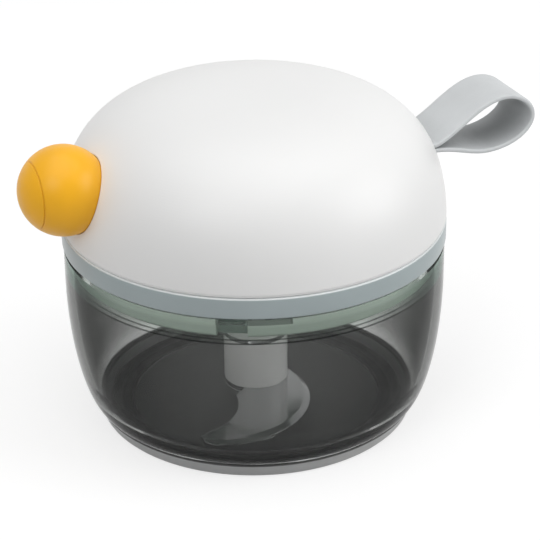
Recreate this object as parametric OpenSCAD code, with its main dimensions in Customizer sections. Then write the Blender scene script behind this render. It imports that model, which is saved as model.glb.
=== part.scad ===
// Pull-string garlic chopper: cup with a sickle blade, twist-lock domed lid and cord-driven spindle.
// The origin is the middle of the foot pad's underside. +Z is up, the knob is along -X, the loop along +X.

/* [Cup] */
// Height of the cup's rim above the table
rim_z = 46; // [42:0.5:58]
// Largest outer radius of the cup
cup_r = 46.8; // [45:0.2:57]
// Thickness of the cup's wall
cup_wall = 2.2; // [1.8:0.1:2.6]
// Thickness of the cup's floor
cup_floor = 1.8; // [1.6:0.1:2.6]
// Outer radius where the cup's curve starts, just above the pad
foot_r = 40.4; // [38:0.2:44]
// Height of the cup's widest point
widest_z = 36.8; // [30:0.2:40]
// Radius of the flat part of the inner floor
floor_flat_r = 31.5; // [28:0.5:33]

/* [Foot pad] */
// Thickness of the pad under the cup
pad_floor = 1; // [0.9:0.1:1.6]
// Height of the pad's lip above the table
pad_h = 4; // [3.4:0.1:6]
// Thickness of the pad's lip
pad_lip = 1.2; // [1:0.1:1.6]

/* [Twist lock] */
// Number of lugs inside the cup's rim
lug_count = 4; // [3:1:4]
// Width of one lug, in degrees
lug_angle = 8; // [6:0.5:10]
// How far the lid turns from open to locked, in degrees
lock_turn = 13.5; // [10:0.5:18]
// Direction of the first lug, in degrees from +X
lug_start = 240; // [0:1:359]
// How far the lid's skirt reaches below the rim
skirt_depth = 5.5; // [5:0.1:8]

/* [Lid] */
// Height of the coloured collar
collar_h = 5; // [4:0.1:7]
// Height of the dome above the collar
dome_h = 31.3; // [31:0.1:42]
// Thickness of the dome's wall
dome_wall = 2.2; // [1.6:0.1:2.6]
// Thickness of the lid's base plate
plate_t = 3; // [2.6:0.1:4]

/* [Blade] */
// Radius of the hub's column
hub_r = 8; // [7.5:0.1:10]
// Radius of the blade's convex cutting edge
blade_edge_r = 23.1; // [22:0.1:23.6]
// Thickness of the blade's steel
blade_t = 1.2; // [0.8:0.1:1.6]
// Width of the ground bevel along the cutting edge
bevel_w = 1.4; // [1:0.1:3]
// Radius of the steel pin that the hub turns on
pivot_r = 2.5; // [2:0.1:3]

/* [Pull drive] */
// Radius of the ball on the cord
knob_r = 10.9; // [9.5:0.1:13]
// Diameter of the cord
cord_d = 1.8; // [1.4:0.1:2]
// Radius of the reel's core
reel_core_r = 14.6; // [13.5:0.1:15.5]
// Turns of cord on the reel
cord_turns = 2.75; // [2.5:0.25:2.75]
// Number of teeth on the ratchet wheel
ratchet_teeth = 12; // [12:12:24]
// Radius of the reel's steel axle
axle_r = 2; // [1.6:0.1:2.4]
// Height of the flat spring's strip
spring_h = 3.8; // [3:0.1:4]

/* [Holding loop] */
// Width of the loop's band
strap_w = 16; // [14:0.5:20]
// Thickness of the loop's band
strap_t = 1.2; // [1:0.1:1.8]
// Height of the loop's root above the collar
strap_rise = 11.6; // [9:0.1:13]

/* [Hidden] */
$fn = 64;

// Clearances: snug is a fixed round fit, run a turning fit, slip a loose fixed fit, gap a free space
snug = 0.02;
run = 0.05;
slip = 0.1;
gap = 0.4;
// Length by which cutting solids overshoot the faces that they cut
over = 1;
// Depth by which joined solids of one piece run into each other
bite = 0.5;

// Cup: heights and the curve of its wall
pad_gap = 0.2;
shoulder_z = pad_h + pad_gap;
foot_step_r = foot_r - pad_lip;
foot_taper = 1.7;
floor_z = pad_floor + cup_floor;
function foot_at(z) = foot_step_r - foot_taper * (shoulder_z - z) / (shoulder_z - pad_floor);
cup_fullness = 0.65;
cup_steps = 36;
fillet_z = floor_z + 10.5;
fillet_steps = 14;
rim_round = 0.5;
function cup_out(z) = let(t = max(0, min(1, (z - shoulder_z) / (widest_z - shoulder_z))))
  foot_r + (cup_r - foot_r) * pow(1 - pow(1 - t, 2), cup_fullness);
function cup_in(z) = cup_out(z) - cup_wall;
function wall_z(i, low) = low + (rim_z - low) * pow(i / cup_steps, 1.5);
rim_in_r = cup_in(rim_z);

// Pivot boss and pin on the cup's floor
dish_r = 11;
dish_h = 0.5;
boss_r = 4.6;
boss_z = floor_z + 1.55;
pin_z = pad_floor + 0.6;
pin_top_z = floor_z + 16;

// Lid: heights from the rim upwards
seal_space = 0.7;
seal_clear = 0.05;
collar_z = rim_z + seal_space;
dome_z = collar_z + collar_h;
ledge_t = 1.7;
plate_top_z = dome_z - ledge_t;
plate_z = plate_top_z - plate_t;
skirt_z = rim_z - skirt_depth;
skirt_top_z = rim_z + 0.3;
skirt_t = 2.2;
skirt_r = rim_in_r - 0.5;
plate_r = skirt_r - 0.8;
collar_r = cup_r - 0.7;
collar_chamfer = 0.6;
collar_chamfer_h = 1.3;

// Twist lock: the lugs on the cup and the slots in the skirt
lug_h = 1.6;
lug_z = rim_z - 2;
lug_in_r = skirt_r - 1.6;
slot_play = 0.7;
arm_step = 0.2;
arm_z = lug_z - gap;
arm_top_z = rim_z;

// Dome: a superellipse of revolution that tucks in at its lower edge
dome_over = 0.4;
dome_r = cup_r + dome_over;
dome_tuck = 6.2;
dome_top_z = dome_z + dome_h;
equator_z = dome_z - dome_tuck;
side_power = 3.37;
crown_power = 2.95;
dome_lip = 1;
skin_steps = 64;
hidden_steps = 24;
function dome_point(a, d) = [(dome_r + d) * pow(cos(a), 2 / side_power),
  equator_z + (dome_top_z + d - equator_z) * pow(sin(a), 2 / crown_power)];
function dome_angle(z, d) = asin(pow((z - equator_z) / (dome_top_z + d - equator_z), crown_power / 2));
function dome_at(z, d) = dome_point(dome_angle(z, d), d)[0];
function dome_curve(z, d, steps) = let(a0 = dome_angle(z, d))
  [for (i = [0 : steps]) i == steps ? [0, dome_top_z + d] : dome_point(a0 + (90 - a0) * i / steps, d)];

// Drive train: heights from the skirt upwards
socket_z = skirt_z - 2.1;
socket_r = hub_r;
shaft_r = 5;
bush_t = 1.55;
boss_wall = 2.9;
bearing_top_z = plate_top_z + 3;
ratchet_z = bearing_top_z + 0.3;
ratchet_t = 3;
shaft_top_z = ratchet_z + ratchet_t + 1.1;
shaft_flat = 0.8;
axle_z = shaft_top_z - 5;

// Hub and the flat tang on its top that the socket drives
hub_z = boss_z + gap;
hub_core_r = 5;
hub_round = 0.8;
hub_top_z = socket_z - gap;
tang_half_t = 2;
tang_half_l = 5.5;
tang_h = 5.4;
drive_play = 0.15;
lost_turn = lock_turn + 6.5;
socket_half_t = tang_half_t + drive_play;
socket_half_l = norm([tang_half_l, tang_half_t]) + gap;
socket_depth = tang_h + gap + gap;

// Blade: convex edge and concave back are arcs, placed from the hub's axis
edge_centre = [-13, -5.75];
back_centre = [-24.8, -6.4];
back_r = 15.9;
tip_r = 35;
tip_x = -24.2;
edge_t = 0.25;
// Outline that ends the sickle at its tip and runs its root into the hub
root = [[tip_x, -tip_r], [hub_r + 4, -tip_r], [hub_r + 4, -6], [hub_r + 2, -4.5], [hub_r - 0.2, 0], [-5.6, 0],
  [-5.6, -5.7], [-9.1, -8.4], [tip_x, -8.4]];
// The low blade sweeps the floor; the high one is the same stamping, turned to the other side
low_blade_z = hub_z + 0.9;
blade_rise = 13.6;
high_blade_z = low_blade_z + blade_rise;

// Reel and what turns with it
reel_z = shaft_top_z + gap;
flange_t = 1.2;
flange_r = 20;
cord_pitch = 2.4;
cord_seat = 0.15;
winding_r = reel_core_r + cord_seat + cord_d / 2;
first_turn_z = reel_z + flange_t + gap + cord_d / 2;
cord_z = first_turn_z + cord_turns * cord_pitch;
reel_top_z = cord_z + cord_d / 2 + 0.3 + flange_t;
arbor_r = 5;
pawl_z = ratchet_z + 0.3;
pawl_t = 2.6;
pawl_pivot = [11, -11.5];
pawl_boss_r = 2.1;
pawl_pin_r = 1.2;
ratchet_root_r = 8.2;
ratchet_tip_r = 10.2;

// Spring, its case and the bridge over the reel
case_in_r = 15.4;
case_wall = 1.4;
case_z = reel_top_z + gap;
spring_room = spring_h + gap;
case_top_z = case_z + spring_room + case_wall;
arbor_top_z = case_z + spring_room - 0.3;
spring_z = case_z + gap / 2;
spring_t = 0.4;
spring_clear = 0.3;
spring_turns = 6;
spring_steps = 16;
frame_t = 1.6;
frame_top_z = case_top_z + frame_t;
frame_r = 20;
leg_count = 4;
leg_start = 45;
leg_r = 3;
leg_place = flange_r + 1.5 + leg_r;

// Screws
screw_r = 1.25;
screw_head_r = 2.6;
screw_head_h = 1.5;
screw_hole_r = 1.5;
head_play = 0.2;
cross_l = 2.8;
cross_w = 0.6;
cross_depth = 0.8;
frame_screw_l = 9;
dome_screw_l = 10;
boss_count = 3;
boss_start = 90;
dome_boss_r = 3.5;
boss_place = plate_r - 7.2;

// Knob, guide and cord route from the reel's side to the ball
knob_gap = 0.15;
seat_depth = 2.6;
seat_rim = 2.2;
knob_out = 4;
knob_x = -(dome_at(cord_z, 0) + knob_out);
knob_cap_polar = 48;
seam_half = 1;
seam_depth = 0.2;
knob_bore_r = 1.2;
pocket_r = 4.2;
pocket_depth = 4.6;
spigot_l = 1.8;
stop_r = 2.4;
stop_l = 2.4;
stop_play = 0.2;
guide_r = 3.2;
guide_mouth = 0.8;
guide_bore_r = cord_d / 2 + 0.3;
guide_flange_r = 4.6;
guide_flange_t = 1.4;
guide_out_x = -dome_at(cord_z + guide_r, -seat_depth);
guide_in_x = guide_out_x + 5.2;
guide_l = guide_in_x - guide_out_x - slip;
cap_face = knob_r * cos(knob_cap_polar);
pocket_end = cap_face - pocket_depth;
stop_x = knob_x - pocket_end - stop_play;
cord_leave = 180 - acos(winding_r / -guide_in_x);
cord_rings = 24;
cord_sides = 6;

// Holding loop: root on the dome, four curves of the band's middle line measured from the root
strap_z = dome_z + strap_rise;
strap_x = dome_at(strap_z, 0) + 0.4;
strap_apart = 0.1;
ply = (strap_t + strap_apart) / 2;
strap_curves = [
  [[0, ply], [6, 2.6], [12, 10.2], [19.2, 10.2]],
  [[19.2, 10.2], [23.2, 10.2], [27.1, 7.5], [27.1, 4.1]],
  [[27.1, 4.1], [27.1, 0.2], [21.5, -3.3], [14.5, -3.3]],
  [[14.5, -3.3], [10, -3.3], [6, -1], [0, -ply]]
];
strap_steps = 12;
strap_slot_play = 0.3;
bead_r = 3.2;
bead_x = strap_x - 7.8;
strap_pin_r = 1.5;
ear_t = 3.5;
ear_h = 8;
ear_back = 4;

// Point on a cubic curve, unit vector along a list of points, and a quarter turn to the left
function cubic(c, t) = pow(1 - t, 3) * c[0] + 3 * pow(1 - t, 2) * t * c[1]
  + 3 * (1 - t) * pow(t, 2) * c[2] + pow(t, 3) * c[3];
function along(p, i) = let(d = p[min(i + 1, len(p) - 1)] - p[max(i - 1, 0)]) d / norm(d);
function left(v) = [-v[1], v[0]];
function polar(r, a) = [r * cos(a), r * sin(a)];

// Outline of a strip of one thickness along a middle line
function strip(middle, t) =
  let(last = len(middle) - 1, side = [for (i = [0 : last]) t / 2 * left(along(middle, i))])
  concat([for (i = [0 : last]) middle[i] + side[i]], [for (i = [last : -1 : 0]) middle[i] - side[i]]);

// Tube of one diameter swept along a route, closed at both ends, as one skin of triangles
module tube(route, d, sides) {
  rings = len(route);
  points = [for (i = [0 : rings - 1])
    let(t = along(route, i), u = cross(t, [0, 0, 1]) / norm(cross(t, [0, 0, 1])), v = cross(u, t))
    for (k = [0 : sides - 1]) route[i] + d / 2 * (cos(360 * k / sides) * u + sin(360 * k / sides) * v)];
  skin = [for (i = [0 : rings - 2], k = [0 : sides - 1])
    let(a = i * sides + k, b = i * sides + (k + 1) % sides)
    for (face = [[a, b, b + sides], [a, b + sides, a + sides]]) face];
  first_end = [for (k = [1 : sides - 2]) [0, k + 1, k]];
  top = (rings - 1) * sides;
  last_end = [for (k = [1 : sides - 2]) [top, top + k, top + k + 1]];
  polyhedron(points, concat(skin, first_end, last_end), convexity = 10);
}

// Ring sector between two radii and two angles, standing on z = 0
module sector(r1, r2, a1, a2, h) {
  rotate([0, 0, a1]) rotate_extrude(angle = a2 - a1) translate([r1, 0]) square([r2 - r1, h]);
}

module cup() {
  color([0.3, 0.3, 0.31, 0.5]) {
    difference() {
      rotate_extrude() polygon(concat(
        [[0, pad_floor], [foot_at(pad_floor), pad_floor], [foot_step_r, shoulder_z]],
        [for (i = [0 : cup_steps - 1]) let(z = wall_z(i, shoulder_z)) [cup_out(z), z]],
        [[cup_out(rim_z), rim_z - rim_round], [cup_out(rim_z) - rim_round, rim_z], [rim_in_r, rim_z]],
        [for (i = [cup_steps - 1 : -1 : 1]) let(z = wall_z(i, fillet_z)) [cup_in(z), z]],
        [for (i = [0 : fillet_steps]) let(a = 90 - 90 * i / fillet_steps)
          [floor_flat_r + (cup_in(fillet_z) - floor_flat_r) * sin(a),
            fillet_z - (fillet_z - floor_z) * cos(a)]],
        [[dish_r + dish_h, floor_z], [dish_r, floor_z + dish_h], [boss_r, floor_z + dish_h],
          [boss_r, boss_z], [0, boss_z]]));
      translate([0, 0, pin_z]) cylinder(r = pivot_r + snug, h = boss_z - pin_z + over);
    }
    for (i = [0 : lug_count - 1]) {
      lug_side = lug_start + 360 * i / lug_count - lug_angle / 2;
      translate([0, 0, lug_z])
        sector(lug_in_r, rim_in_r + cup_wall / 2, lug_side, lug_side + lug_angle, lug_h);
    }
  }
}

module base_pad() {
  pad_out_r = foot_step_r + snug + pad_lip + slip;
  pad_taper = 1.5;
  pad_round = 0.6;
  groove_r = 33;
  groove_w = 2;
  groove_h = 0.4;
  recess_r = 31;
  recess_floor = 0.5;
  color([0.72, 0.73, 0.74]) rotate_extrude() polygon([[0, 0], [groove_r, 0], [groove_r, groove_h],
    [groove_r + groove_w, groove_h], [groove_r + groove_w, 0], [pad_out_r - pad_taper - pad_round, 0],
    [pad_out_r - pad_taper, pad_round], [pad_out_r, pad_h], [foot_at(pad_h) + snug, pad_h],
    [foot_at(pad_floor) + snug, pad_floor], [recess_r, pad_floor], [recess_r, recess_floor],
    [0, recess_floor]]);
}

module pivot_pin() {
  pin_round = 0.8;
  color([0.75, 0.76, 0.78]) rotate_extrude() polygon([[0, pin_z], [pivot_r, pin_z],
    [pivot_r, pin_top_z - pin_round], [pivot_r - pin_round, pin_top_z], [0, pin_top_z]]);
}

// One sickle with its ring: inside the convex edge's arc, outside the concave back's arc
module sickle() {
  slope = (blade_t - edge_t) / bevel_w;
  difference() {
    union() {
      intersection() {
        translate([edge_centre[0], edge_centre[1], 0]) cylinder(r = blade_edge_r, h = blade_t);
        cylinder(r = tip_r, h = blade_t);
        linear_extrude(blade_t) polygon(root);
      }
      cylinder(r = hub_r, h = blade_t);
    }
    translate([back_centre[0], back_centre[1], -over]) cylinder(r = back_r, h = blade_t + 2 * over);
    translate([0, 0, -over]) cylinder(r = hub_core_r + snug, h = blade_t + 2 * over);
    // Ground bevel: a cone's outside face that leaves a thin cutting edge
    translate([edge_centre[0], edge_centre[1], 0]) rotate_extrude() polygon([
      [blade_edge_r - bevel_w, blade_t + over], [blade_edge_r - bevel_w, blade_t], [blade_edge_r, edge_t],
      [blade_edge_r + over, edge_t - over * slope], [blade_edge_r + over, blade_t + over]]);
  }
}

module chopping_blade() {
  color([0.8, 0.81, 0.83]) {
    translate([0, 0, low_blade_z]) sickle();
    translate([0, 0, high_blade_z]) rotate([0, 0, 180]) sickle();
  }
}

// Column with a groove for each blade's ring and the drive tang on top
module blade_hub() {
  bore_r = pivot_r + run;
  bore_top_z = pin_top_z + 0.3;
  function groove(z) = [[hub_r, z], [hub_core_r, z], [hub_core_r, z + blade_t], [hub_r, z + blade_t]];
  color([0.93, 0.93, 0.92]) {
    rotate_extrude() polygon(concat([[bore_r, hub_z], [hub_r - hub_round, hub_z], [hub_r, hub_z + hub_round]],
      groove(low_blade_z), groove(high_blade_z), [[hub_r, hub_top_z - hub_round],
        [hub_r - hub_round, hub_top_z], [0, hub_top_z], [0, bore_top_z], [bore_r, bore_top_z]]));
    translate([-tang_half_l, -tang_half_t, hub_top_z - over])
      cube([2 * tang_half_l, 2 * tang_half_t, tang_h + over]);
  }
}

module lid_seal() {
  edge_inset = 0.6;
  color([0.82, 0.83, 0.83]) translate([0, 0, rim_z + seal_clear])
    sector(skirt_r + slip, collar_r - edge_inset, 0, 360, seal_space - 2 * seal_clear);
}

module dome_cover() {
  inner = dome_curve(dome_z, -dome_wall, hidden_steps);
  outer = dome_curve(dome_z + dome_lip, 0, skin_steps);
  edge_r = outer[0][0] - dome_lip;
  color([0.95, 0.95, 0.95]) difference() {
    union() {
      rotate_extrude() polygon(concat(
        [[edge_r, dome_z], [edge_r + dome_lip * sin(45), dome_z + dome_lip * (1 - cos(45))]], outer,
        [for (i = [hidden_steps : -1 : 0]) inner[i]]));
      intersection() {
        dome_core();
        union() {
          for (i = [0 : boss_count - 1]) rotate([0, 0, boss_start + 360 * i / boss_count])
            translate([boss_place, 0, plate_top_z]) cylinder(r = dome_boss_r, h = dome_h + over);
          for (side = [-1, 1]) translate([bead_x - ear_back, side * (strap_w + ear_t + gap) / 2 - ear_t / 2,
            strap_z - ear_h / 2]) cube([dome_r - bead_x + ear_back, ear_t, ear_h]);
          translate([guide_in_x, 0, cord_z]) rotate([0, -90, 0]) cylinder(r = guide_flange_r, h = dome_r);
          difference() {
            translate([knob_x, 0, cord_z]) sphere(r = knob_r + seat_rim);
            dome_solid(-dome_wall - seat_depth);
          }
        }
      }
    }
    for (i = [0 : boss_count - 1]) rotate([0, 0, boss_start + 360 * i / boss_count])
      translate([boss_place, 0, plate_top_z - over]) cylinder(r = screw_r + snug, h = dome_screw_l);
    difference() {
      translate([knob_x, 0, cord_z]) sphere(r = knob_r + knob_gap);
      dome_solid(-seat_depth);
    }
    translate([guide_in_x + over, 0, cord_z]) rotate([0, -90, 0]) cylinder(r = guide_r + snug, h = dome_r);
    translate([bead_x, -strap_w / 2 - strap_slot_play, strap_z - ply - strap_t / 2 - strap_slot_play])
      cube([dome_r, strap_w + 2 * strap_slot_play, 2 * ply + strap_t + 2 * strap_slot_play]);
    translate([bead_x, 0, strap_z]) rotate([90, 0, 0])
      cylinder(r = strap_pin_r + snug, h = 2 * strap_w, center = true);
  }
}

// Everything inside the dome's surface moved out by d
module dome_solid(d) {
  rotate_extrude() polygon(concat([[0, dome_z]], dome_curve(dome_z, d, hidden_steps)));
}

// Solid up to the middle of the dome's wall, to end the bosses and ears inside that wall
module dome_core() {
  middle = dome_curve(dome_z, -dome_wall / 2, hidden_steps);
  core_r = dome_at(dome_z, -dome_wall) - gap;
  rotate_extrude() polygon(concat([[0, plate_top_z], [core_r, plate_top_z], [core_r, dome_z + slip]],
    [for (i = [1 : hidden_steps]) middle[i]]));
}

module collar_ring() {
  ledge_w = 2.2;
  color([0.62, 0.67, 0.69]) rotate_extrude() polygon([[plate_r + slip, collar_z],
    [collar_r - collar_chamfer, collar_z], [collar_r, collar_z + collar_chamfer_h], [collar_r, dome_z],
    [plate_r - ledge_w, dome_z], [plate_r - ledge_w, plate_top_z], [plate_r + slip, plate_top_z]]);
}

module lid_base() {
  skirt_chamfer = 0.6;
  bearing_r = shaft_r + run + bush_t + snug;
  color([0.7, 0.76, 0.73]) difference() {
    rotate_extrude() polygon([[bearing_r, plate_z], [skirt_r - skirt_t, plate_z],
      [skirt_r - skirt_t, skirt_z], [skirt_r - skirt_chamfer, skirt_z], [skirt_r, skirt_z + skirt_chamfer],
      [skirt_r, skirt_top_z], [plate_r, skirt_top_z], [plate_r, plate_top_z],
      [bearing_r + boss_wall, plate_top_z], [bearing_r + boss_wall, bearing_top_z],
      [bearing_r, bearing_top_z]]);
    for (i = [0 : lug_count - 1]) {
      lug_middle = lug_start + 360 * i / lug_count;
      entry_half = lug_angle / 2 + slot_play;
      translate([0, 0, skirt_z - over]) sector(skirt_r - skirt_t - over, skirt_r + over,
        lug_middle - entry_half, lug_middle + entry_half, arm_z + bite - skirt_z + over);
      translate([0, 0, arm_z]) sector(skirt_r - skirt_t - over, skirt_r + over,
        lug_middle - entry_half - arm_step, lug_middle + entry_half + lock_turn, arm_top_z - arm_z);
    }
    screw_holes(leg_count, leg_start, leg_place);
    screw_holes(boss_count, boss_start, boss_place);
  }
}

// Clearance holes with counterbores from below, round the lid's axis
module screw_holes(count, start, place) {
  for (i = [0 : count - 1]) rotate([0, 0, start + 360 * i / count]) translate([place, 0, plate_z]) {
    translate([0, 0, -over]) cylinder(r = screw_hole_r, h = plate_t + 2 * over);
    translate([0, 0, -over]) cylinder(r = screw_head_r + head_play, h = screw_head_h + over);
  }
}

// Pan-head screws that point up, round the lid's axis
module screws(count, start, place, length) {
  color([0.7, 0.71, 0.73]) for (i = [0 : count - 1]) rotate([0, 0, start + 360 * i / count])
    translate([place, 0, plate_z]) difference() {
      union() {
        cylinder(r = screw_head_r, h = screw_head_h);
        cylinder(r = screw_r, h = length);
      }
      for (turn = [0, 90]) rotate([0, 0, turn]) translate([-cross_l / 2, -cross_w / 2, -over])
        cube([cross_l, cross_w, over + cross_depth]);
    }
}

module shaft_bush() {
  color([0.78, 0.66, 0.38]) translate([0, 0, plate_z])
    sector(shaft_r + run, shaft_r + run + bush_t, 0, 360, bearing_top_z - plate_z);
}

module drive_shaft() {
  shoulder = plate_z - gap;
  half_slot = [socket_half_l, socket_half_t];
  corner = socket_half_t * tan(lost_turn / 2);
  function turned(p) = [p[0] * cos(lost_turn) - p[1] * sin(lost_turn),
    p[0] * sin(lost_turn) + p[1] * cos(lost_turn)];
  color([0.9, 0.9, 0.89]) difference() {
    rotate_extrude() polygon([[0, socket_z], [socket_r, socket_z], [socket_r, shoulder], [shaft_r, shoulder],
      [shaft_r, shaft_top_z], [0, shaft_top_z]]);
    // Bow-tie socket: room for the tang to stand back while the lid turns to its lock
    translate([0, 0, socket_z - over]) linear_extrude(socket_depth + over) polygon([
      [corner, -socket_half_t], [half_slot[0], -half_slot[1]], turned(half_slot),
      [-corner, socket_half_t], [-half_slot[0], half_slot[1]], turned(-half_slot)]);
    translate([0, 0, axle_z]) cylinder(r = axle_r + run, h = shaft_top_z - axle_z + over);
    translate([shaft_r - shaft_flat, -shaft_r, ratchet_z]) cube([shaft_r, 2 * shaft_r, shaft_top_z]);
  }
}

module ratchet_wheel() {
  tooth = 360 / ratchet_teeth;
  steep = 1;
  color([0.86, 0.84, 0.78]) translate([0, 0, ratchet_z]) difference() {
    linear_extrude(ratchet_t) polygon([for (i = [0 : ratchet_teeth - 1])
      for (p = [polar(ratchet_root_r, i * tooth), polar(ratchet_tip_r, i * tooth + steep)]) p]);
    difference() {
      translate([0, 0, -over]) cylinder(r = shaft_r + snug, h = ratchet_t + 2 * over);
      translate([shaft_r - shaft_flat + snug, -shaft_r, -2 * over])
        cube([shaft_r, 2 * shaft_r, ratchet_t + 4 * over]);
    }
  }
}

module cord_reel() {
  pocket_z = reel_top_z - flange_t;
  pocket_out_r = reel_core_r - 2;
  rib_t = 1.4;
  hub_wall = 2.6;
  hook_depth = 1.2;
  hook_w = 1;
  color([0.86, 0.87, 0.88]) difference() {
    union() {
      rotate_extrude() polygon([[axle_r + run, reel_z], [axle_r + hub_wall, reel_z],
        [axle_r + hub_wall, pocket_z], [pocket_out_r, pocket_z], [pocket_out_r, reel_z], [flange_r, reel_z],
        [flange_r, reel_z + flange_t], [reel_core_r, reel_z + flange_t], [reel_core_r, pocket_z],
        [flange_r, pocket_z], [flange_r, reel_top_z], [arbor_r, reel_top_z],
        [arbor_r, arbor_top_z], [axle_r + run, arbor_top_z]]);
      for (turn = [0, 60, 120]) rotate([0, 0, turn]) difference() {
        translate([-pocket_out_r - bite, -rib_t / 2, reel_z])
          cube([2 * (pocket_out_r + bite), rib_t, pocket_z - reel_z + bite]);
        translate([0, 0, reel_z - over]) cylinder(r = axle_r + hub_wall / 2, h = reel_top_z);
      }
      for (turn = [0, 180]) rotate([0, 0, turn]) translate([pawl_pivot[0], pawl_pivot[1], pawl_z])
        cylinder(r = pawl_pin_r, h = reel_z - pawl_z + flange_t / 2);
    }
    // Slot in the arbor that the spring's inner end hooks into
    translate([arbor_r - hook_depth, -hook_w / 2, spring_z - slip])
      cube([hook_depth + over, hook_w, spring_h + 2 * over]);
  }
}

// Two pawls that push the ratchet's steep faces when the reel turns to the left
module clutch_pawls() {
  tooth_gap = 0.25;
  inner_side = [[ratchet_root_r + tooth_gap, -tooth_gap], [9.7, -2.4], [9.9, -6]];
  outer_side = [[12.2, -6], [ratchet_tip_r + gap, -tooth_gap]];
  color([0.55, 0.57, 0.6]) for (turn = [0, 180]) rotate([0, 0, turn]) translate([0, 0, pawl_z]) difference() {
    union() {
      linear_extrude(pawl_t) polygon(concat(inner_side, [[pawl_pivot[0] - pawl_boss_r, pawl_pivot[1]],
        [pawl_pivot[0] + pawl_boss_r, pawl_pivot[1]]], outer_side));
      translate(pawl_pivot) cylinder(r = pawl_boss_r, h = pawl_t);
    }
    translate([pawl_pivot[0], pawl_pivot[1], -over]) cylinder(r = pawl_pin_r + run, h = pawl_t + 2 * over);
  }
}

module reel_axle() {
  head_r = 3.2;
  head_h = 0.8;
  end_z = axle_z + gap / 2;
  color([0.75, 0.76, 0.78]) rotate_extrude() polygon([[0, end_z], [axle_r, end_z],
    [axle_r, frame_top_z], [head_r, frame_top_z], [head_r, frame_top_z + head_h], [0, frame_top_z + head_h]]);
}

// Flat strip in a spiral: hooked into the arbor's slot inside and the case's notch outside
module main_spring() {
  count = spring_turns * spring_steps;
  spring_in_r = arbor_r + spring_clear;
  spring_out_r = case_in_r - spring_clear - spring_t;
  inner_end = [arbor_r - 0.8, 0];
  outer_end = [case_in_r + 0.6, 0];
  turns = [for (i = [0 : count])
    polar(spring_in_r + spring_t / 2 + (spring_out_r - spring_in_r) * i / count, 360 * i / spring_steps)];
  color([0.45, 0.47, 0.5]) translate([0, 0, spring_z]) linear_extrude(spring_h)
    polygon(strip(concat([inner_end], turns, [outer_end]), spring_t));
}

module spring_case() {
  notch_depth = 0.9;
  notch_w = 1.6;
  color([0.8, 0.81, 0.82]) difference() {
    rotate_extrude() polygon([[axle_r + snug, case_top_z - case_wall], [case_in_r, case_top_z - case_wall],
      [case_in_r, case_z], [case_in_r + case_wall, case_z], [case_in_r + case_wall, case_top_z],
      [axle_r + snug, case_top_z]]);
    translate([case_in_r - bite, -notch_w / 2, case_z - over])
      cube([notch_depth + bite, notch_w, spring_room + over]);
  }
}

module mechanism_frame() {
  arm_w = 7;
  arm_l = leg_place - frame_r + 4;
  color([0.88, 0.89, 0.9]) difference() {
    union() {
      translate([0, 0, case_top_z]) cylinder(r = frame_r, h = frame_t);
      for (i = [0 : leg_count - 1]) rotate([0, 0, leg_start + 360 * i / leg_count]) {
        translate([leg_place - arm_l, -arm_w / 2, case_top_z]) cube([arm_l, arm_w, frame_t]);
        translate([leg_place, 0, plate_top_z]) cylinder(r = leg_r, h = frame_top_z - plate_top_z);
      }
    }
    translate([0, 0, case_top_z - over]) cylinder(r = axle_r + snug, h = frame_t + 2 * over);
    for (i = [0 : leg_count - 1]) rotate([0, 0, leg_start + 360 * i / leg_count])
      translate([leg_place, 0, plate_top_z - over]) cylinder(r = screw_r + snug, h = frame_screw_l);
  }
}

module frame_screws() { screws(leg_count, leg_start, leg_place, frame_screw_l); }

module dome_screws() { screws(boss_count, boss_start, boss_place, dome_screw_l); }

// Cord: turns on the reel, straight to the guide, through it and the ball's bore to the stop
winding = [for (i = [0 : round(cord_turns * cord_rings)])
  let(t = i / (cord_turns * cord_rings), a = cord_leave - 360 * cord_turns * (1 - t))
  [winding_r * cos(a), winding_r * sin(a), first_turn_z + cord_turns * cord_pitch * t]];
lead_start = winding[len(winding) - 1];
lead_bend = [guide_in_x + guide_flange_t, 0, cord_z];
lead = concat([for (t = [0.25, 0.5, 0.75, 0.94]) lead_start + t * (lead_bend - lead_start)],
  [[guide_in_x, 0, cord_z], [guide_out_x, 0, cord_z], [knob_x, 0, cord_z], [stop_x + slip, 0, cord_z]]);
turn_gaps = [for (i = [0 : len(winding) - 1], j = [i + cord_rings / 2 : len(winding) - 1])
  norm(winding[i] - winding[j]) - cord_d];
echo(least_gap_between_turns = min(turn_gaps));

module pull_cord() {
  color([0.93, 0.93, 0.9]) tube(concat(winding, lead), cord_d, cord_sides);
}

module cord_guide() {
  mouth_r = guide_bore_r + guide_mouth;
  color([0.85, 0.86, 0.87]) translate([guide_in_x, 0, cord_z]) rotate([0, -90, 0])
    rotate_extrude() polygon([[mouth_r, -guide_flange_t], [guide_flange_r, -guide_flange_t],
      [guide_flange_r, 0], [guide_r, 0], [guide_r, guide_l], [mouth_r, guide_l],
      [guide_bore_r, guide_l - guide_mouth], [guide_bore_r, guide_mouth - guide_flange_t]]);
}

// Ball's own frame: Z is the cord's line and grows towards the outer end
module knob_place() {
  translate([knob_x, 0, cord_z]) rotate([0, -90, 0]) children();
}

// Ball with a fine groove round the seam between its shell and its cap
module knob_ball() {
  function knob_point(r, a) = [r * sin(a), r * cos(a)];
  difference() {
    sphere(r = knob_r);
    rotate_extrude() polygon([knob_point(knob_r - seam_depth, knob_cap_polar),
      knob_point(knob_r + over, knob_cap_polar + seam_half * (1 + over / seam_depth)),
      knob_point(knob_r + over, knob_cap_polar - seam_half * (1 + over / seam_depth))]);
  }
}

module knob_shell() {
  color([0.98, 0.72, 0.18]) difference() {
    knob_place() difference() {
      knob_ball();
      translate([-knob_r - over, -knob_r - over, cap_face]) cube(2 * (knob_r + over));
      translate([0, 0, pocket_end]) cylinder(r = pocket_r + snug, h = pocket_depth + over);
      translate([0, 0, -knob_r - over]) cylinder(r = knob_bore_r, h = 2 * knob_r);
    }
    dome_solid(knob_gap - seat_depth);
  }
}

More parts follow.
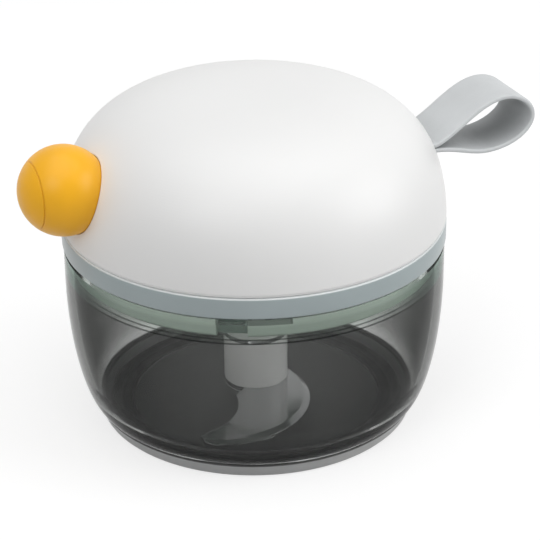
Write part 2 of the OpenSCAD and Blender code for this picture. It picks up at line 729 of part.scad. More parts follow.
module knob_cap() {
  color([0.98, 0.72, 0.18]) knob_place() {
    difference() {
      knob_ball();
      translate([-knob_r - over, -knob_r - over, cap_face + snug - 2 * (knob_r + over)])
        cube(2 * (knob_r + over));
    }
    translate([0, 0, cap_face - spigot_l]) cylinder(r = pocket_r, h = spigot_l + bite);
  }
}

module cord_stop() {
  color([0.8, 0.8, 0.78]) translate([stop_x, 0, cord_z]) rotate([0, -90, 0]) cylinder(r = stop_r, h = stop_l);
}

module strap_loop() {
  middle = concat([[bead_x - strap_x, ply]],
    [for (c = strap_curves, i = [0 : strap_steps - 1]) cubic(c, i / strap_steps)],
    [[0, -ply], [bead_x - strap_x, -ply]]);
  color([0.8, 0.81, 0.82]) difference() {
    union() {
      translate([strap_x, strap_w / 2, strap_z]) rotate([90, 0, 0]) linear_extrude(strap_w)
        polygon(strip(middle, strap_t));
      translate([bead_x, 0, strap_z]) rotate([90, 0, 0]) cylinder(r = bead_r, h = strap_w, center = true);
    }
    translate([bead_x, 0, strap_z]) rotate([90, 0, 0])
      cylinder(r = strap_pin_r + snug, h = strap_w + over, center = true);
  }
}

module strap_pin() {
  color([0.75, 0.76, 0.78]) translate([bead_x, 0, strap_z]) rotate([90, 0, 0])
    cylinder(r = strap_pin_r, h = strap_w + gap + 2 * ear_t, center = true);
}

cup();
base_pad();
pivot_pin();
chopping_blade();
blade_hub();
lid_seal();
dome_cover();
collar_ring();
lid_base();
shaft_bush();
drive_shaft();
ratchet_wheel();
cord_reel();
clutch_pawls();
reel_axle();
main_spring();
spring_case();
mechanism_frame();
frame_screws();
dome_screws();
pull_cord();
cord_guide();
knob_shell();
knob_cap();
cord_stop();
strap_loop();
strap_pin();
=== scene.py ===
"""Looks of a pull-string garlic chopper: smoke cup, white domed lid, yellow pull ball and grey loop."""
import math

import bpy
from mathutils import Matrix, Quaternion, Vector


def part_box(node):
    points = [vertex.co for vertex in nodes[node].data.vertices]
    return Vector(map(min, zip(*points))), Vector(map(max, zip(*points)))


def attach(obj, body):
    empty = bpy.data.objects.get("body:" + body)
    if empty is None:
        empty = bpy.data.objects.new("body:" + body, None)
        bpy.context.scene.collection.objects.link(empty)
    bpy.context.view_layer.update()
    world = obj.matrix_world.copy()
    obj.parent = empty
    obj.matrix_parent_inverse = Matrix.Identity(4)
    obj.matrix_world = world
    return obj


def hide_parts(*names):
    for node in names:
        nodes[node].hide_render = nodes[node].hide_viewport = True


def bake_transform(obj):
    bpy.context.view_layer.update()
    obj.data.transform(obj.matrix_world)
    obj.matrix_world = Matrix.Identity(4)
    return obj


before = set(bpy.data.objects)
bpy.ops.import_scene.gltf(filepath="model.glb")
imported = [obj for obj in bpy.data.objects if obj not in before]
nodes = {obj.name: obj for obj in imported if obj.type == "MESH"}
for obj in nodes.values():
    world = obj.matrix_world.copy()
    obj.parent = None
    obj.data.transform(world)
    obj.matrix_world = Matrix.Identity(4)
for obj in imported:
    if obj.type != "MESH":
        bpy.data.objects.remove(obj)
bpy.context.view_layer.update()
scene = bpy.context.scene
scene.view_settings.view_transform = "Standard"
MM = 0.001

# Loop, in millimetres: where it leaves the dome, its width, and its bead's place along x from there
STRAP_ROOT = Vector((45.98, 0, 63.3))
STRAP_W = 16
BEAD_X = -7.8


# Camera

def add_camera():
    """Long lens from the front left that looks down on the lid, as in the photograph."""
    azimuth, elevation = math.radians(-23), math.radians(26.29)
    distance, roll = 0.552, -0.0155
    aim = Vector((0, 0, 0.0368))
    back = Vector((math.sin(azimuth) * math.cos(elevation), -math.cos(azimuth) * math.cos(elevation),
                   math.sin(elevation)))
    data = bpy.data.cameras.new("camera")
    data.lens = 148.5
    data.sensor_width = 36
    data.shift_x = 0.0289
    data.shift_y = -0.0061
    data.clip_start = 0.01
    camera = bpy.data.objects.new("camera", data)
    camera.location = aim + back * distance
    camera.rotation_mode = "QUATERNION"
    camera.rotation_quaternion = back.to_track_quat("Z", "Y") @ Quaternion((0, 0, 1), roll)
    scene.collection.objects.link(camera)
    scene.camera = camera


# Meshes

def new_mesh(name, points, faces, uvs=None):
    """Smooth-shaded mesh object; uvs gives one pair for each face corner."""
    mesh = bpy.data.meshes.new(name)
    mesh.from_pydata(points, [], faces)
    for polygon in mesh.polygons:
        polygon.use_smooth = True
    if uvs:
        layer = mesh.uv_layers.new(name="around")
        layer.data.foreach_set("uv", [x for pair in uvs for x in pair])
    mesh.validate()
    piece = bpy.data.objects.new(name, mesh)
    scene.collection.objects.link(piece)
    return piece


def quads(sides, here, ahead):
    """Faces between two rings of points, given by the rings' numbers."""
    faces = []
    for j in range(sides):
        k = (j + 1) % sides
        faces.append((here * sides + j, here * sides + k, ahead * sides + k, ahead * sides + j))
    return faces


def swept(name, rings):
    """Tube through rings of points, closed by a fan at each end."""
    sides, last = len(rings[0]), len(rings) - 1
    points = [p for ring in rings for p in ring]
    faces, uvs = [], []
    for i in range(last):
        faces += quads(sides, i, i + 1)
        for j in range(sides):
            left, right = j / sides, (j + 1) / sides
            uvs += [(left, i), (right, i), (right, i + 1), (left, i + 1)]
    for start, order in ((0, -1), (last * sides, 1)):
        points.append(sum((Vector(p) for p in points[start:start + sides]), Vector()) / sides)
        for j in range(sides):
            corner = (start + j, start + (j + 1) % sides, len(points) - 1)
            faces.append(corner[::order])
            uvs += [(j / sides, start), ((j + 1) / sides, start), (j / sides, start)][::order]
    return new_mesh(name, points, faces, uvs)


def looped(name, rings):
    """Ring of equal sections that closes on itself."""
    count = len(rings)
    faces = []
    for i in range(count):
        faces += quads(len(rings[0]), i, (i + 1) % count)
    return new_mesh(name, [p for ring in rings for p in ring], faces)


def turned(name, profile):
    """Ring of the lid, turned about the upright axis from a profile of radius and height."""
    around, sharp_angle = 192, math.radians(35)
    rings = []
    for i in range(around):
        a = -2 * math.pi * i / around
        rings.append([Vector((r * math.cos(a), r * math.sin(a), z)) for r, z in profile])
    ring = looped(name, rings)
    ring.data.set_sharp_from_angle(angle=sharp_angle)
    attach(ring, "lid_body")
    return ring


def cubic(c, t):
    """Point of a cubic curve with four control points."""
    u = 1 - t
    return [u ** 3 * c[0][k] + 3 * u * u * t * c[1][k] + 3 * u * t * t * c[2][k] + t ** 3 * c[3][k]
            for k in range(2)]


def tube_rings(path, radius, sides):
    """Round rings across a path, turned along it without twist."""
    rings, side = [], None
    for i, p in enumerate(path):
        ahead = (path[min(i + 1, len(path) - 1)] - path[max(i - 1, 0)]).normalized()
        side = side - ahead * side.dot(ahead) if side else ahead.cross(Vector((0, 0, 1)))
        side.normalize()
        up = ahead.cross(side)
        rings.append([p + radius * (math.cos(a) * side + math.sin(a) * up)
                      for a in (2 * math.pi * j / sides for j in range(sides))])
    return rings


# Pieces

def add_cord():
    """Cord wound on the reel, led through the guide and into the ball; it draws out between lid and ball."""
    radius, sides = 0.9 * MM, 16
    winding_r, turns, pitch, steps_per_turn = 15.65 * MM, 2.75, 2.4 * MM, 64
    first_z, cord_z, leave = 60.3 * MM, 66.9 * MM, math.radians(117.464)
    guide_in, guide_out, stop = -33.933 * MM, -39.133 * MM, -51.114 * MM
    bend_inside, out_steps = 1.4 * MM, 90
    lead_shares = (0.06, 0.12, 0.2, 0.3, 0.4, 0.5, 0.6, 0.7, 0.8, 0.88, 0.94, 0.97)
    guide_shares = (0.1, 0.3, 0.6, 0.9)
    steps = round(turns * steps_per_turn)
    path = []
    for i in range(steps + 1):
        a = leave - 2 * math.pi * turns * (1 - i / steps)
        z = first_z + turns * pitch * i / steps
        path.append(Vector((winding_r * math.cos(a), winding_r * math.sin(a), z)))
    start, bend = path[-1], Vector((guide_in + bend_inside, 0, cord_z))
    path += [start.lerp(bend, t) for t in lead_shares]
    path += [Vector((guide_in + (guide_out - guide_in) * t, 0, cord_z)) for t in guide_shares]
    for i in range(out_steps + 1):
        path.append(Vector((guide_out + (stop - guide_out) * i / out_steps, 0, cord_z)))
    cord = swept("pull_cord_braid", tube_rings(path, radius, sides))
    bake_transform(cord)
    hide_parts("pull_cord")
    return cord


def add_strap_band():
    """Folded silicone band with round edges, whose two plies end in the bead. Sizes in millimetres."""
    thick, edge_r, ply = 1.2, 0.5, 0.65
    curve_steps, corner_steps = 24, 6
    curves = [[[0, ply], [6, 2.6], [12, 10.2], [19.2, 10.2]],
              [[19.2, 10.2], [23.2, 10.2], [27.1, 7.5], [27.1, 4.1]],
              [[27.1, 4.1], [27.1, 0.2], [21.5, -3.3], [14.5, -3.3]],
              [[14.5, -3.3], [10, -3.3], [6, -1], [0, -ply]]]
    middle = [[BEAD_X, ply], [BEAD_X / 2, ply]]
    middle += [cubic(c, i / curve_steps) for c in curves for i in range(curve_steps)]
    middle += [[0, -ply], [BEAD_X / 2, -ply], [BEAD_X, -ply]]
    section = []
    for k in range(4):
        corner_y = (STRAP_W / 2 - edge_r) * (1 if k in (0, 3) else -1)
        corner_n = (thick / 2 - edge_r) * (1 if k in (0, 1) else -1)
        for j in range(corner_steps + 1):
            a = math.radians(90 * k + 90 * j / corner_steps)
            section.append((corner_y + edge_r * math.cos(a), corner_n + edge_r * math.sin(a)))
    rings = []
    for i, (x, z) in enumerate(middle):
        x0, z0 = middle[max(i - 1, 0)]
        x1, z1 = middle[min(i + 1, len(middle) - 1)]
        run = math.hypot(x1 - x0, z1 - z0)
        nx, nz = -(z1 - z0) / run, (x1 - x0) / run
        rings.append([(STRAP_ROOT + Vector((x + nx * n, y, z + nz * n))) * MM for y, n in section])
    band = swept("strap_band", rings)
    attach(band, "lid_body")
    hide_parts("strap_loop")
    return band


def add_strap_bead():
    """Bead that holds the band's ends on the cross pin. Sizes in millimetres."""
    bead_r, pin_r, half, around = 3.2, 1.52, STRAP_W / 2, 48
    edge, bevel = 0.5, 0.15
    corner = [(pin_r, half), (bead_r - edge, half), (bead_r - bevel, half - bevel), (bead_r, half - edge)]
    outline = [(r, -y) for r, y in corner] + corner[::-1]
    rings = []
    for j in range(around):
        a = 2 * math.pi * j / around
        spokes = [Vector((BEAD_X + r * math.cos(a), y, r * math.sin(a))) for r, y in outline]
        rings.append([(STRAP_ROOT + spoke) * MM for spoke in spokes])
    bead = looped("strap_bead", rings)
    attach(bead, "lid_body")
    return bead


def add_collar():
    """Ring flush with the dome; its lip hangs round the seal, just clear of the cup's rim."""
    bore_r, ledge_r, ledge_t = 43.4 * MM, 41.1 * MM, 1.7 * MM
    lip_clear, seal_clear, edge_r, edge_steps = 0.5 * MM, 0.2 * MM, 0.5 * MM, 5
    low_z, high_z = (corner[2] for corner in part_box("collar_ring"))
    lip_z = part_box("cup")[1][2] + lip_clear
    lip_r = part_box("lid_seal")[1][1] + seal_clear
    outer_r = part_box("dome_cover")[1][1]
    arc = [math.radians(90 * i / edge_steps) for i in range(edge_steps + 1)]
    profile = [(bore_r, low_z), (lip_r, low_z), (lip_r, lip_z)]
    profile += [(outer_r - edge_r * (1 - math.sin(a)), lip_z + edge_r * (1 - math.cos(a))) for a in arc]
    profile += [(outer_r - edge_r * (1 - math.cos(a)), high_z - edge_r * (1 - math.sin(a))) for a in arc]
    profile += [(ledge_r, high_z), (ledge_r, high_z - ledge_t), (bore_r, high_z - ledge_t)]
    ring = turned("collar_band", profile)
    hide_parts("collar_ring")
    return ring


def add_skirt_wall():
    """Thin wall inside the skirt, which makes its slots blind; finish_lid paints it dark as shade."""
    outer_r, inner_r = 41.85 * MM, 41.25 * MM
    low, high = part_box("lid_base")[0][2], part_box("cup")[1][2]
    wall = turned("skirt_wall", [(inner_r, low), (outer_r, low), (outer_r, high), (inner_r, high)])
    return wall


# Materials

def add_node(tree, kind, **settings):
    """New shader node with its settings."""
    node = tree.nodes.new(kind)
    for key, value in settings.items():
        setattr(node, key, value)
    return node


class Finish:
    """Node material: one Principled shader whose colour, gloss and relief vary over the piece."""

    # Offsets part the noise of gloss and grain from the colour's, along a slanting line
    GLOSS_OFFSET = 3.1
    GRAIN_OFFSET = 7.7
    OFFSET_LINE = (1, 0.7, 1.3)

    def __init__(self, name, colour, roughness, metallic=0.0, **sockets):
        self.material = bpy.data.materials.new(name)
        self.material.use_nodes = True
        self.tree = self.material.node_tree
        self.shader = self.tree.nodes["Principled BSDF"]
        self.colour = colour
        self.roughness = roughness
        self.shader.inputs["Base Color"].default_value = (*colour, 1)
        self.shader.inputs["Roughness"].default_value = roughness
        self.shader.inputs["Metallic"].default_value = metallic
        for socket, value in sockets.items():
            self.shader.inputs[socket.replace("_", " ")].default_value = value
        self.place = self.add("ShaderNodeTexCoord").outputs["Object"]
        self.tint = None
        self.normal = None

    def add(self, kind, **settings):
        return add_node(self.tree, kind, **settings)

    def link(self, source, target):
        self.tree.links.new(source, target)

    def noise(self, size, detail, stretch=(1, 1, 1), offset=0.0):
        """Noise about 0.5 whose patches are about size metres across."""
        mapping = self.add("ShaderNodeMapping")
        mapping.inputs["Scale"].default_value = [s / size for s in stretch]
        mapping.inputs["Location"].default_value = [offset * part for part in self.OFFSET_LINE]
        self.link(self.place, mapping.inputs["Vector"])
        node = self.add("ShaderNodeTexNoise")
        node.inputs["Scale"].default_value = 1.0
        node.inputs["Detail"].default_value = detail
        self.link(mapping.outputs["Vector"], node.inputs["Vector"])
        return node.outputs["Fac"]

    def spread(self, value, low, high, from_low=0.3, from_high=0.7):
        """Value from from_low to from_high, mapped to low to high; noise fills the ends given here."""
        node = self.add("ShaderNodeMapRange")
        ends = {"From Min": from_low, "From Max": from_high, "To Min": low, "To Max": high}
        for key, number in ends.items():
            node.inputs[key].default_value = number
        self.link(value, node.inputs["Value"])
        return node.outputs["Result"]

    def above(self, value, start, end):
        """0 up to start, growing to 1 at end."""
        return self.spread(value, 0, 1, start, end)

    def below(self, value, start, end):
        """1 up to start, falling to 0 at end."""
        return self.spread(value, 1, 0, start, end)

    def between(self, value, low, high, soft):
        """1 from low to high, fading to 0 over soft on both sides."""
        return self.product(self.above(value, low - soft, low), self.below(value, high, high + soft))

    def product(self, first, second):
        node = self.add("ShaderNodeMath", operation="MULTIPLY")
        self.link(first, node.inputs[0])
        self.link(second, node.inputs[1])
        return node.outputs["Value"]

    def part_of(self, vector, letter):
        """One coordinate of a vector."""
        node = self.add("ShaderNodeSeparateXYZ")
        self.link(vector, node.inputs["Vector"])
        return node.outputs[letter]

    def axis(self, letter):
        """Place along one axis of the part."""
        return self.part_of(self.place, letter)

    def radius(self):
        """Distance from the part's upright axis."""
        flat = self.add("ShaderNodeVectorMath", operation="MULTIPLY")
        flat.inputs[1].default_value = (1, 1, 0)
        self.link(self.place, flat.inputs[0])
        length = self.add("ShaderNodeVectorMath", operation="LENGTH")
        self.link(flat.outputs["Vector"], length.inputs[0])
        return length.outputs["Value"]

    def upward(self):
        """Upward part of the surface's normal."""
        return self.part_of(self.add("ShaderNodeNewGeometry").outputs["Normal"], "Z")

    def openness(self, reach):
        """1 where nothing is near, down to 0 in a deep hollow; reach is how far it looks."""
        node = self.add("ShaderNodeAmbientOcclusion", samples=16)
        node.inputs["Distance"].default_value = reach
        return node.outputs["AO"]

    def paint(self, value, colour):
        """Mixes colour over what is there, by a value from 0 to 1."""
        node = self.add("ShaderNodeMix", data_type="RGBA")
        under, over, mixed = node.inputs[6], node.inputs[7], node.outputs[2]
        if self.tint:
            self.link(self.tint, under)
        else:
            under.default_value = (*self.colour, 1)
        over.default_value = (*colour, 1)
        self.link(value, node.inputs["Factor"])
        self.tint = mixed
        self.link(self.tint, self.shader.inputs["Base Color"])
        return self

    def mottle(self, share, size, detail=3.0):
        """Cloudy tone, darker by up to share."""
        dark = [c * (1 - share) for c in self.colour]
        return self.paint(self.spread(self.noise(size, detail), 0, 1), dark)

    def gloss(self, change, size, detail=3.0, stretch=(1, 1, 1)):
        """Roughness that wanders by change."""
        wander = self.noise(size, detail, stretch, self.GLOSS_OFFSET)
        value = self.spread(wander, self.roughness - change, self.roughness + change)
        self.link(value, self.shader.inputs["Roughness"])
        return self

    def relief(self, height, depth):
        """Bump of depth metres from a height of 0 to 1, on top of earlier relief."""
        node = self.add("ShaderNodeBump")
        node.inputs["Strength"].default_value = 1.0
        node.inputs["Distance"].default_value = depth
        self.link(height, node.inputs["Height"])
        if self.normal:
            self.link(self.normal, node.inputs["Normal"])
        self.normal = node.outputs["Normal"]
        self.link(self.normal, self.shader.inputs["Normal"])
        return self

    def grain(self, size, depth, stretch=(1, 1, 1)):
        """Fine relief of depth metres, with grains of size metres."""
        grains = self.noise(size, detail=2.0, stretch=stretch, offset=self.GRAIN_OFFSET)
        return self.relief(grains, depth)

    def soft_edges(self, radius):
        """Edges rounded in the shading."""
        bevel = self.add("ShaderNodeBevel", samples=6)
        bevel.inputs["Radius"].default_value = radius
        self.normal = bevel.outputs["Normal"]
        self.link(self.normal, self.shader.inputs["Normal"])
        return self

    def wear_on(self, *pieces):
        """Only material of these pieces, given as objects or as names of nodes."""
        for piece in pieces:
            mesh = (nodes[piece] if isinstance(piece, str) else piece).data
            mesh.materials.clear()
            mesh.materials.append(self.material)

    def wear_on_top(self, name, height):
        """Wears only on the faces above height that look up."""
        least_upward = 0.9
        mesh = nodes[name].data
        mesh.materials.append(self.material)
        for polygon in mesh.polygons:
            if polygon.center.z > height and polygon.normal.z > least_upward:
                polygon.material_index = len(mesh.materials) - 1


def finish_cup():
    """Smoke plastic: dark in walls seen along their length, greenish at the skirt, clear at the rim, with a
    painted shadow line under the skirt's lower edge.
    """
    # Each pair gives the two ends of a fade
    wall_facing, wall_r, wall_tint = (0.1, 0.6), (39.5 * MM, 41.5 * MM), (0.1, 0.105, 0.1)
    band_z, band_tint = (40.3 * MM, 40.6 * MM), (0.57, 0.61, 0.58)
    rim_z, rim_tint = (44.2 * MM, 45.2 * MM), (0.8, 0.83, 0.81)
    side_facing, side_tint = (0.35, 0.7), (0.1, 0.17, 0.135)
    foot_z, foot_r, foot_tint = (5 * MM, 7 * MM), (34 * MM, 35 * MM), (0.85, 0.855, 0.85)
    shadow_line_low, shadow_line_high, shadow_line_soft, shadow_line_tint = 40 * MM, 40.3 * MM, 0.12 * MM, (0.07, 0.08, 0.075)
    top_z = 45.5 * MM
    smoke = Finish("smoke_plastic", (0.65, 0.655, 0.65), 0.03, Transmission_Weight=0.94, IOR=1.12)
    facing = smoke.add("ShaderNodeLayerWeight").outputs["Facing"]
    height, radius = smoke.axis("Z"), smoke.radius()
    band = smoke.above(height, *band_z)
    smoke.paint(smoke.product(smoke.above(facing, *wall_facing), smoke.above(radius, *wall_r)), wall_tint)
    smoke.paint(band, band_tint)
    smoke.paint(smoke.above(height, *rim_z), rim_tint)
    smoke.paint(smoke.product(smoke.above(facing, *side_facing), band), side_tint)
    # Painted shadow: a dark line just under the skirt's lower edge
    smoke.paint(smoke.between(height, shadow_line_low, shadow_line_high, shadow_line_soft), shadow_line_tint)
    smoke.paint(smoke.product(smoke.below(height, *foot_z), smoke.above(radius, *foot_r)), foot_tint)
    smoke.gloss(0.01, 4 * MM)
    smoke.wear_on("cup")

    rim_edge = Finish("rim_edge", (0.5, 0.54, 0.52), 0.3, Transmission_Weight=0.35, IOR=1.12)
    rim_edge.mottle(0.1, 5 * MM).gloss(0.06, 2 * MM)
    rim_edge.wear_on_top("cup", top_z)


def finish_pad():
    """Grey rubber with painted light on its upward faces, broken by a grey ring into pale lines of painted
    highlight, a dark disc of painted shadow under the cup's floor and a painted shadow line at the upper
    edge.
    """
    painted_light_tint, ring_tint, shadow_disc_tint, shadow_line_tint = ([tone] * 3 for tone in (0.95, 0.5, 0.17, 0.03))
    ring_low, ring_high, ring_soft = 32 * MM, 34.2 * MM, 0.3 * MM
    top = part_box("base_pad")[1][2]
    # Each pair gives the two ends of a fade
    painted_light_upward, shadow_disc_r, shadow_line_z = (0.6, 0.8), (30.9 * MM, 31 * MM), (top - 0.7 * MM, top - 0.5 * MM)
    pad = Finish("pad_rubber", (0.46, 0.465, 0.465), 0.5)
    radius = pad.radius()
    pad.mottle(0.08, 6 * MM)
    # Painted light: upward faces made pale, where little light reaches under the cup
    pad.paint(pad.above(pad.upward(), *painted_light_upward), painted_light_tint)
    # Grey ring over the painted light, which leaves a pale line on each side of it as painted highlight
    pad.paint(pad.between(radius, ring_low, ring_high, ring_soft), ring_tint)
    # Painted shadow: a dark disc under the cup's floor
    pad.paint(pad.below(radius, *shadow_disc_r), shadow_disc_tint)
    # Painted shadow: a dark line along the upper edge, under the cup's shoulder
    pad.paint(pad.above(pad.axis("Z"), *shadow_line_z), shadow_line_tint)
    pad.gloss(0.08, 2 * MM).soft_edges(0.3 * MM).grain(0.25 * MM, 0.012 * MM)
    pad.wear_on("base_pad")


def finish_lid(collar_band, skirt_wall):
    """White dome, blue-grey collar with a painted highlight on its upper edge, pale insert whose blind slots
    are painted dark as shade, and seal.
    """
    white = Finish("dome_plastic", (0.86, 0.86, 0.855), 0.42)
    white.mottle(0.012, 30 * MM).gloss(0.04, 3 * MM).soft_edges(0.25 * MM).grain(0.35 * MM, 0.002 * MM)
    white.wear_on("dome_cover")

    highlight_upward, highlight_tint = (0.3, 0.8), (0.85, 0.88, 0.88)
    collar = Finish("collar_plastic", (0.36, 0.42, 0.43), 0.3)
    collar.mottle(0.04, 12 * MM, detail=1.0).gloss(0.015, 8 * MM, detail=1.0)
    # Painted highlight: the upward-facing top round of the collar is lighter
    collar.paint(collar.above(collar.upward(), *highlight_upward), highlight_tint)
    collar.wear_on(collar_band)

    insert = Finish("insert_plastic", (0.66, 0.72, 0.67), 0.35)
    insert.mottle(0.05, 9 * MM).gloss(0.06, 2 * MM).soft_edges(0.2 * MM).grain(0.3 * MM, 0.003 * MM)
    insert.wear_on("lid_base")

    # Painted shade: the wall behind the blind slots is dark green
    recess_shade = Finish("recess_shade_plastic", (0.2, 0.27, 0.235), 0.4)
    recess_shade.mottle(0.06, 7 * MM).gloss(0.05, 2 * MM).grain(0.3 * MM, 0.003 * MM)
    recess_shade.wear_on(skirt_wall)

    seal = Finish("seal_silicone", (0.12, 0.125, 0.125), 0.55)
    seal.mottle(0.08, 4 * MM).gloss(0.06, 1.5 * MM).grain(0.2 * MM, 0.01 * MM)
    seal.wear_on("lid_seal")


def finish_handles(band, bead):
    """Yellow ball, and a silicone loop with painted shade in its hollow, from ambient occlusion."""
    yellow = Finish("knob_plastic", (1.0, 0.49, 0.008), 0.4, Specular_IOR_Level=0.4)
    yellow.mottle(0.05, 8 * MM).gloss(0.05, 1.5 * MM).soft_edges(0.3 * MM).grain(0.3 * MM, 0.004 * MM)
    yellow.wear_on("knob_shell", "knob_cap")

    hollow_shade_reach, hollow_shade_open, hollow_shade_tint = 14 * MM, (0.3, 0.78), (0.3, 0.315, 0.32)
    silicone = Finish("strap_silicone", (0.63, 0.65, 0.66), 0.5)
    silicone.mottle(0.05, 7 * MM).gloss(0.06, 1.2 * MM).grain(0.25 * MM, 0.0015 * MM)
    # Painted shade: darker where the loop's hollow is closed in, by ambient occlusion
    silicone.paint(silicone.below(silicone.openness(hollow_shade_reach), *hollow_shade_open), hollow_shade_tint)
    silicone.wear_on(band, bead)


def finish_column():
    """White column, and blades polished along their length."""
    hub = Finish("hub_plastic", (0.78, 0.78, 0.77), 0.22)
    hub.mottle(0.04, 5 * MM).gloss(0.06, 1.5 * MM).soft_edges(0.4 * MM).grain(0.3 * MM, 0.003 * MM)
    hub.wear_on("blade_hub")

    blade = Finish("blade_polish", (0.54, 0.545, 0.55), 0.14, metallic=1.0)
    blade.gloss(0.05, 1.2 * MM, stretch=(0.15, 1, 1)).soft_edges(0.15 * MM)
    blade.grain(0.25 * MM, 0.0008 * MM, stretch=(0.06, 1, 1))
    blade.wear_on("chopping_blade")


def finish_mechanism():
    """Steel, spring strip, brass and moulded plastics of the drive inside the lid."""
    steel = Finish("turned_steel", (0.56, 0.57, 0.58), 0.28, metallic=1.0)
    steel.mottle(0.15, 2 * MM).gloss(0.08, 0.5 * MM).grain(0.12 * MM, 0.002 * MM, stretch=(1, 1, 4))
    steel.wear_on("pivot_pin", "reel_axle", "frame_screws", "dome_screws", "strap_pin", "cord_stop")

    spring = Finish("spring_strip", (0.36, 0.37, 0.4), 0.3, metallic=1.0)
    spring.mottle(0.3, 3 * MM).gloss(0.08, 0.8 * MM).grain(0.2 * MM, 0.002 * MM, stretch=(1, 1, 0.1))
    spring.wear_on("main_spring")

    brass = Finish("sintered_brass", (0.58, 0.4, 0.16), 0.36, metallic=1.0)
    brass.mottle(0.2, 1.5 * MM).gloss(0.1, 0.5 * MM).grain(0.15 * MM, 0.006 * MM)
    brass.wear_on("shaft_bush")

    ivory = Finish("mechanism_ivory", (0.74, 0.7, 0.6), 0.4)
    ivory.mottle(0.07, 4 * MM).gloss(0.06, 1 * MM).soft_edges(0.2 * MM).grain(0.25 * MM, 0.004 * MM)
    ivory.wear_on("cord_reel", "drive_shaft")

    grey = Finish("mechanism_grey", (0.4, 0.41, 0.42), 0.45)
    grey.mottle(0.08, 5 * MM).gloss(0.06, 1 * MM).soft_edges(0.2 * MM).grain(0.25 * MM, 0.005 * MM)
    grey.wear_on("mechanism_frame", "spring_case", "cord_guide")

    dark = Finish("mechanism_dark", (0.07, 0.07, 0.075), 0.4)
    dark.mottle(0.2, 3 * MM).gloss(0.06, 1 * MM).soft_edges(0.2 * MM).grain(0.25 * MM, 0.005 * MM)
    dark.wear_on("ratchet_wheel", "clutch_pawls")


def finish_cord(cord):
    """Two sets of crossing strands, with painted shade in the valleys between them; their stitches follow the
    line that the cord is drawn out on.
    """
    strands, stitch, strand_depth = 4, 1.3 * MM, 0.12 * MM
    valley_shade_share, valley_shade_end, valley_shade_tint = 0.55, 0.4, (0.45, 0.43, 0.38)
    braid = Finish("cord_braid", (0.78, 0.77, 0.73), 0.7)
    around = braid.part_of(braid.add("ShaderNodeUVMap", uv_map="around").outputs["UV"], "X")
    along = braid.axis("X")

    def wave(direction):
        """Sine of one set of strands, which winds in this direction."""
        turn = braid.add("ShaderNodeMath", operation="MULTIPLY")
        turn.inputs[1].default_value = 2 * math.pi * strands
        braid.link(around, turn.inputs[0])
        pitch = braid.add("ShaderNodeMath", operation="MULTIPLY_ADD")
        pitch.inputs[1].default_value = direction * 2 * math.pi / stitch
        braid.link(along, pitch.inputs[0])
        braid.link(turn.outputs["Value"], pitch.inputs[2])
        sine = braid.add("ShaderNodeMath", operation="SINE")
        braid.link(pitch.outputs["Value"], sine.inputs[0])
        return sine.outputs["Value"]

    cross = braid.product(wave(1), wave(-1))
    # Painted shade: darker in the valleys between the strands
    braid.paint(braid.spread(cross, valley_shade_share, 0, -1, valley_shade_end), valley_shade_tint)
    braid.relief(braid.above(cross, -1, 1), strand_depth).grain(0.12 * MM, 0.01 * MM)
    braid.wear_on(cord)


# Studio

def light_path(tree):
    """1 for rays that see the plain white studio: from the camera, or by way of gloss or clear plastic."""
    path = add_node(tree, "ShaderNodeLightPath")
    seen = path.outputs["Is Camera Ray"]
    for ray in ("Is Glossy Ray", "Is Transmission Ray"):
        either = add_node(tree, "ShaderNodeMath", operation="MAXIMUM")
        tree.links.new(seen, either.inputs[0])
        tree.links.new(path.outputs[ray], either.inputs[1])
        seen = either.outputs["Value"]
    return seen


def mix_by_ray(tree, other, seen, target):
    """Joins two shaders into target: seen for the rays of light_path, other for the rest."""
    mix = add_node(tree, "ShaderNodeMixShader")
    tree.links.new(light_path(tree), mix.inputs["Fac"])
    tree.links.new(other, mix.inputs[1])
    tree.links.new(seen, mix.inputs[2])
    tree.links.new(mix.outputs["Shader"], target.inputs["Surface"])


def add_world():
    """Soft light all round that looks plain white."""
    soft_strength, white_strength = 0.28, 1.0
    world = bpy.data.worlds.new("studio")
    scene.world = world
    world.use_nodes = True
    tree = world.node_tree
    soft, white = tree.nodes["Background"], add_node(tree, "ShaderNodeBackground")
    for background, strength in ((soft, soft_strength), (white, white_strength)):
        background.inputs["Color"].default_value = (1, 1, 1, 1)
        background.inputs["Strength"].default_value = strength
    mix_by_ray(tree, soft.outputs["Background"], white.outputs["Background"], tree.nodes["World Output"])


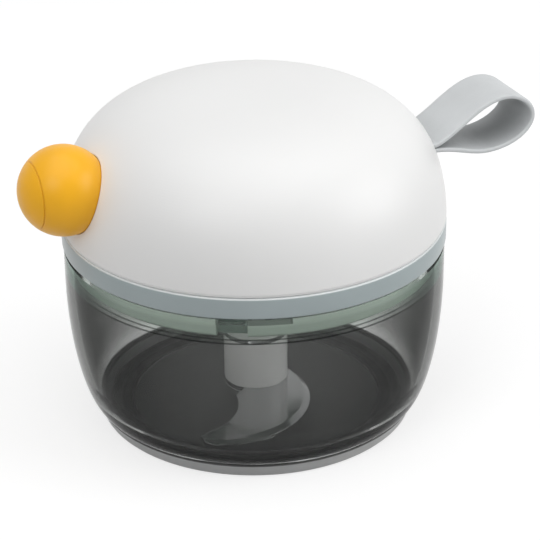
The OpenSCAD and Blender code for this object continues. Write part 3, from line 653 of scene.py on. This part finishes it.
def add_floor():
    """White sheet that takes the object's shadow, with a glow that grows as the lamps' light thins out."""
    size, drop = 3.0, 0.1 * MM
    lit_tone, shadow_tone = 0.55, 0.4
    glow_ends = {"From Min": 0.25, "From Max": 1.6, "To Min": 0.68, "To Max": 0.9}
    corners = [(x * size, y * size, -drop) for x, y in ((-1, -1), (1, -1), (1, 1), (-1, 1))]
    floor = new_mesh("floor", corners, [(0, 1, 2, 3)])
    material = bpy.data.materials.new("floor_sheet")
    material.use_nodes = True
    tree = material.node_tree
    tree.nodes.remove(tree.nodes["Principled BSDF"])
    lit, shadow = (add_node(tree, "ShaderNodeBsdfDiffuse") for _ in range(2))
    lit.inputs["Color"].default_value = (lit_tone, lit_tone, lit_tone, 1)
    shadow.inputs["Color"].default_value = (shadow_tone, shadow_tone, shadow_tone, 1)
    away = add_node(tree, "ShaderNodeVectorMath", operation="LENGTH")
    tree.links.new(add_node(tree, "ShaderNodeTexCoord").outputs["Object"], away.inputs[0])
    strength = add_node(tree, "ShaderNodeMapRange")
    for key, number in glow_ends.items():
        strength.inputs[key].default_value = number
    tree.links.new(away.outputs["Value"], strength.inputs["Value"])
    glow = add_node(tree, "ShaderNodeEmission")
    tree.links.new(strength.outputs["Result"], glow.inputs["Strength"])
    seen = add_node(tree, "ShaderNodeAddShader")
    tree.links.new(shadow.outputs["BSDF"], seen.inputs[0])
    tree.links.new(glow.outputs["Emission"], seen.inputs[1])
    mix_by_ray(tree, lit.outputs["BSDF"], seen.outputs["Shader"], tree.nodes["Material Output"])
    floor.data.materials.append(material)


def add_lamp(name, place, size, power):
    """Square soft box at place, turned to the lid."""
    aim = Vector((0, 0, 0.05))
    data = bpy.data.lights.new(name, "AREA")
    data.size = size
    data.energy = power
    lamp = bpy.data.objects.new(name, data)
    lamp.location = place
    lamp.rotation_mode = "QUATERNION"
    lamp.rotation_quaternion = (aim - Vector(place)).to_track_quat("-Z", "Y")
    scene.collection.objects.link(lamp)


def add_studio():
    add_world()
    add_floor()
    add_lamp("top_box", place=(-0.05, -0.05, 1.0), size=1.1, power=5.3)
    add_lamp("key_box", place=(0.72, -0.5, 0.42), size=0.6, power=3.9)
    add_lamp("fill_box", place=(-0.65, -0.5, 0.7), size=0.5, power=2.2)


add_camera()
pull_cord = add_cord()
strap_band, strap_bead = add_strap_band(), add_strap_bead()
collar_piece, skirt_piece = add_collar(), add_skirt_wall()
finish_cup()
finish_pad()
finish_lid(collar_piece, skirt_piece)
finish_handles(strap_band, strap_bead)
finish_column()
finish_mechanism()
finish_cord(pull_cord)
add_studio()
